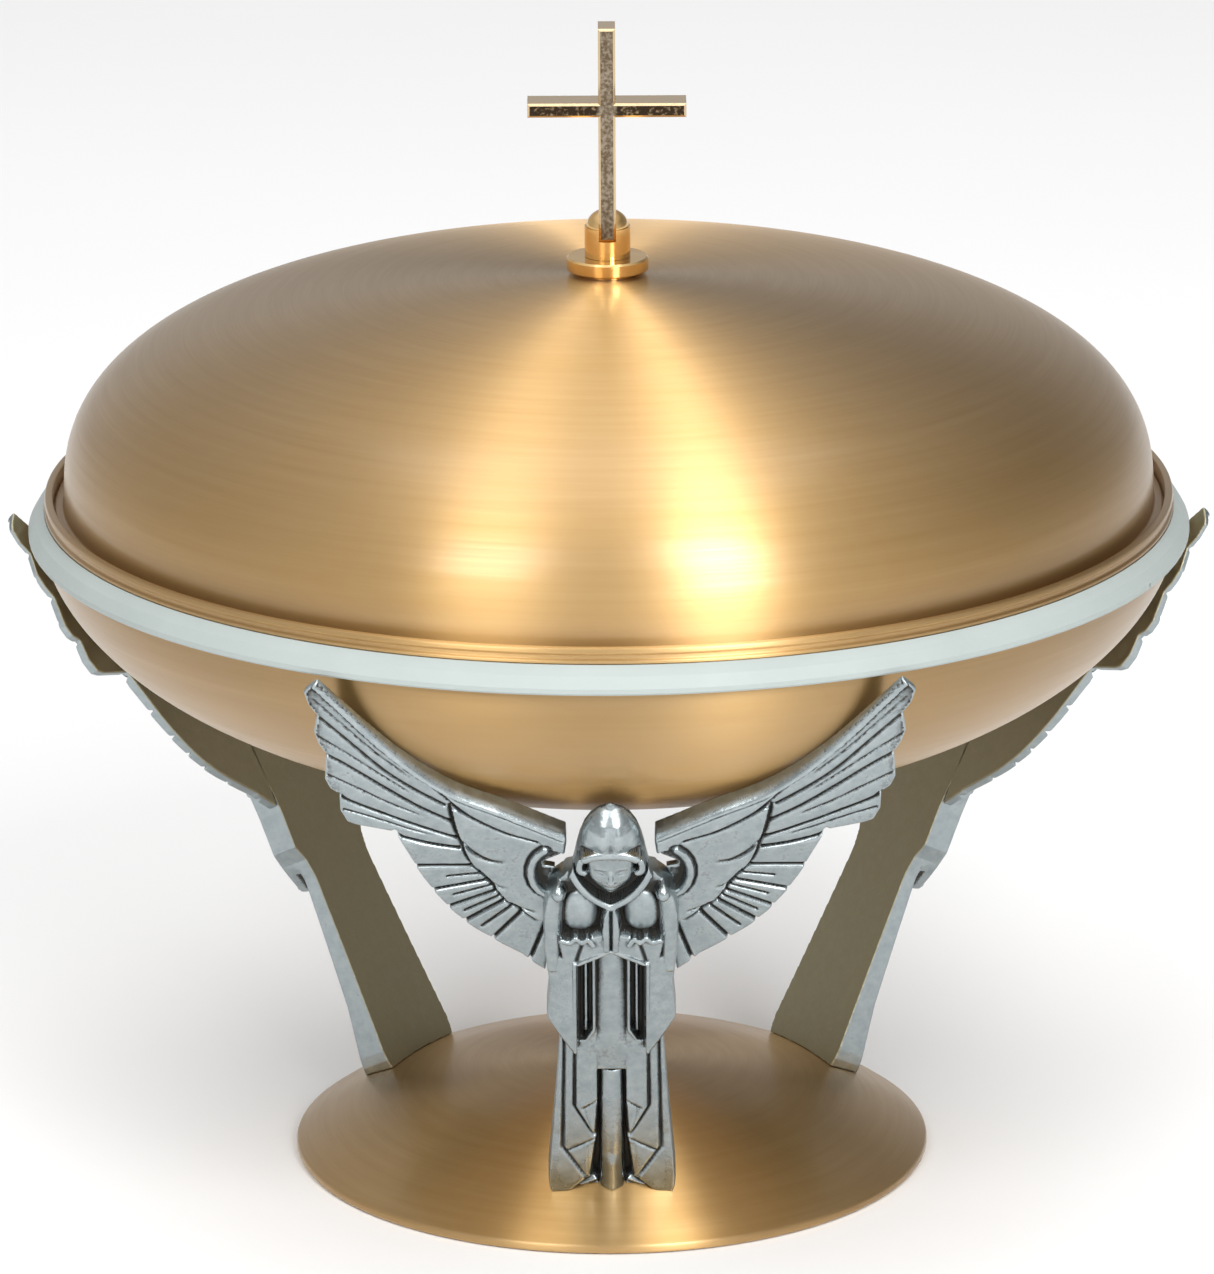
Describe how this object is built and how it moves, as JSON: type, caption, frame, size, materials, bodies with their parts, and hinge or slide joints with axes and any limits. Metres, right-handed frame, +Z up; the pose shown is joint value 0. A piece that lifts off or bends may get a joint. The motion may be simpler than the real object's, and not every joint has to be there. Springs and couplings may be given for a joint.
{
  "type": "ciborium vessel",
  "caption": "Wide covered altar bowl with a low domed lid and cross finial, carried by winged praying figures that lean outwards from a round domed base.",
  "frame": {"origin": "centre of the circle that the base stands on", "axes": "+Z up through the cross; one angel faces -Y; the cross's arms run along X"},
  "size_m": [0.2498, 0.24, 0.2416],
  "materials": {
    "satin_bronze": "circularly brushed satin bronze, lacquered",
    "polished_gold": "polished gold plate",
    "oxidised_silver": "cast brass, silver plated and oxidised dark in its hollows",
    "white_enamel": "white enamel, semi-gloss",
    "steel": "plain turned steel"
  },
  "bodies": {
    "vessel": {"base_dome": "satin_bronze", "bowl": "satin_bronze", "bowl_band": "white_enamel", "bowl_mouth_ring": "satin_bronze", "angel_front": "oxidised_silver", "wing_front_left": "oxidised_silver", "wing_front_right": "oxidised_silver", "base_screws_front": "steel", "base_washers_front": "steel", "angel_rear_right": "oxidised_silver", "wing_rear_right_left": "oxidised_silver", "wing_rear_right_right": "oxidised_silver", "base_screws_rear_right": "steel", "base_washers_rear_right": "steel", "angel_rear_left": "oxidised_silver", "wing_rear_left_left": "oxidised_silver", "wing_rear_left_right": "oxidised_silver", "base_screws_rear_left": "steel", "base_washers_rear_left": "steel"},
    "lid_ring": {"lid_locating_ring": "satin_bronze"},
    "lid": {"lid_dome": "satin_bronze", "finial_disc": "polished_gold", "finial_socket": "polished_gold", "cross": "polished_gold", "finial_screw": "steel", "finial_washer": "steel"}
  },
  "joints": [
    {"name": "lid_lift", "type": "slide", "parent": "vessel", "child": "lid_ring", "axis": [0, 0, 1], "range_m": [0, 0.15]},
    {"name": "lid_turn", "type": "hinge", "parent": "lid_ring", "child": "lid", "pos_m": [0, 0, 0.145], "axis": [0, 0, 1], "continuous": true}
  ]
}
